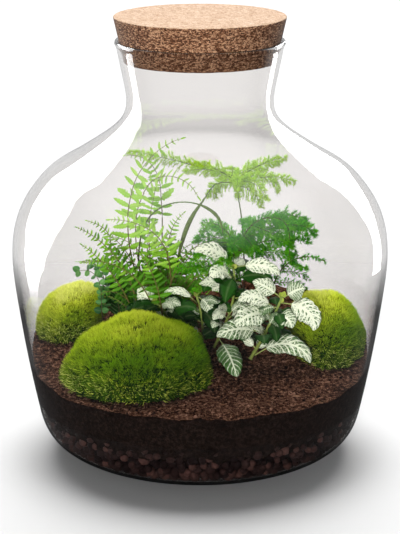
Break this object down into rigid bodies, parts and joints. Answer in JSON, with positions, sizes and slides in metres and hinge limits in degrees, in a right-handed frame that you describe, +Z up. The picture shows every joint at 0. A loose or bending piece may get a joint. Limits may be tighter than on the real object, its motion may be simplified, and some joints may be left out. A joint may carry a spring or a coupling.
{
  "type": "closed glass plant terrarium",
  "caption": "Wide clear glass bottle jar with a cork, planted with fern, asparagus fern and white-veined leaves between moss cushions on dark soil over pebbles.",
  "frame": {"origin": "centre of the jar's flat bottom, on the surface it stands on", "axes": "+Z up the jar's axis, -Y towards the front, where the widest view of the planting is, +X to the right"},
  "size_m": [0.27, 0.27, 0.3185],
  "materials": {
    "clear_glass": "clear, polished, thin wall",
    "cork": "fine pressed cork grain, matte",
    "clay_pebble": "rough fired clay pebbles",
    "soil": "loose fibrous coir and peat, matte",
    "moss": "dense short living moss",
    "fern_green": "thin light green leaflets",
    "dark_fern_green": "thin dark green leaflets",
    "asparagus_green": "fine feathery needles",
    "creeper_green": "small smooth round leaves",
    "nerve_stem_green": "smooth pale olive stems",
    "nerve_leaf": "green leaf with dense white veins, satin"
  },
  "bodies": {
    "root": {"asparagus_shoot_bowed": "asparagus_green", "asparagus_shoot_dark": "asparagus_green", "asparagus_shoot_grey": "asparagus_green", "asparagus_shoot_left": "asparagus_green", "asparagus_shoot_tall": "asparagus_green", "asparagus_shoot_young": "asparagus_green", "cork_stopper": "cork", "creeper_sprig_long": "creeper_green", "creeper_sprig_short": "creeper_green", "dark_fern_frond_left": "dark_fern_green", "dark_fern_frond_middle": "dark_fern_green", "dark_fern_frond_right": "dark_fern_green", "drainage_pebbles": "clay_pebble", "fern_frond_arching": "fern_green", "fern_frond_high": "fern_green", "fern_frond_left_back": "fern_green", "fern_frond_left_high": "fern_green", "fern_frond_left_low": "fern_green", "fern_frond_left_mid": "fern_green", "fern_frond_right": "fern_green", "fern_frond_short": "fern_green", "fern_frond_spreading": "fern_green", "fern_frond_tall": "fern_green", "fern_frond_upright": "fern_green", "glass_jar": "clear_glass", "moss_cushion_front": "moss", "moss_cushion_left": "moss", "moss_cushion_right": "moss", "nerve_plant_leaf_left_1": "nerve_leaf", "nerve_plant_leaf_left_10": "nerve_leaf", "nerve_plant_leaf_left_11": "nerve_leaf", "nerve_plant_leaf_left_2": "nerve_leaf", "nerve_plant_leaf_left_3": "nerve_leaf", "nerve_plant_leaf_left_4": "nerve_leaf", "nerve_plant_leaf_left_5": "nerve_leaf", "nerve_plant_leaf_left_6": "nerve_leaf", "nerve_plant_leaf_left_7": "nerve_leaf", "nerve_plant_leaf_left_8": "nerve_leaf", "nerve_plant_leaf_left_9": "nerve_leaf", "nerve_plant_leaf_low_1": "nerve_leaf", "nerve_plant_leaf_low_2": "nerve_leaf", "nerve_plant_leaf_low_3": "nerve_leaf", "nerve_plant_leaf_outer_1": "nerve_leaf", "nerve_plant_leaf_outer_2": "nerve_leaf", "nerve_plant_leaf_right_1": "nerve_leaf", "nerve_plant_leaf_right_2": "nerve_leaf", "nerve_plant_leaf_right_3": "nerve_leaf", "nerve_plant_leaf_right_4": "nerve_leaf", "nerve_plant_leaf_right_5": "nerve_leaf", "nerve_plant_leaf_right_6": "nerve_leaf", "nerve_plant_leaf_right_7": "nerve_leaf", "nerve_plant_leaf_right_8": "nerve_leaf", "nerve_plant_stem_left": "nerve_stem_green", "nerve_plant_stem_low": "nerve_stem_green", "nerve_plant_stem_outer": "nerve_stem_green", "nerve_plant_stem_right": "nerve_stem_green", "potting_soil": "soil"}
  },
  "joints": []
}
